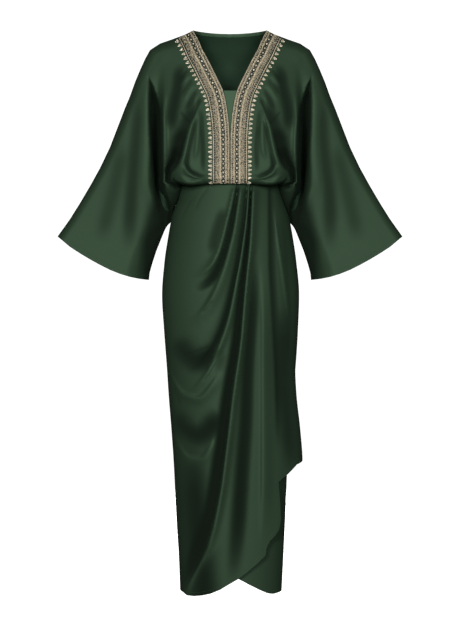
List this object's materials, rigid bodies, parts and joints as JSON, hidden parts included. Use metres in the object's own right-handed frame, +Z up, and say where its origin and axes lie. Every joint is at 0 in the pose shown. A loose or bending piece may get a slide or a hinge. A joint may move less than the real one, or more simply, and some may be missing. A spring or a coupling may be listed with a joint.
{
  "type": "draped kaftan",
  "caption": "Long satin kaftan with wide hanging sleeves, a beaded V neck trim, a bloused waist and a pleated wrap skirt with a tulip hem, filled out as worn",
  "frame": {"origin": "midway between the two neck points of the shoulder seams, at the underside of the cloth there, where the wearer's shoulders hold the garment up", "axes": "+Z up; the front faces -Y; +X is to the viewer's right seen from the front, so the wearer's left side is at +X"},
  "size_m": [0.897, 0.2514, 1.4641],
  "materials": {
    "satin": "satin",
    "trim": "metallic thread and beads",
    "binding": "satin tape, a little lighter than the cloth"
  },
  "bodies": {
    "root": {"bodice_front_right": "satin", "bodice_front_left": "satin", "bodice_back": "satin", "modesty_panel": "satin", "skirt_back": "satin", "skirt_front_under": "satin", "skirt_front_over": "satin", "neck_band_right": "trim", "neck_band_left": "trim", "back_neck_binding": "binding"}
  },
  "joints": []
}
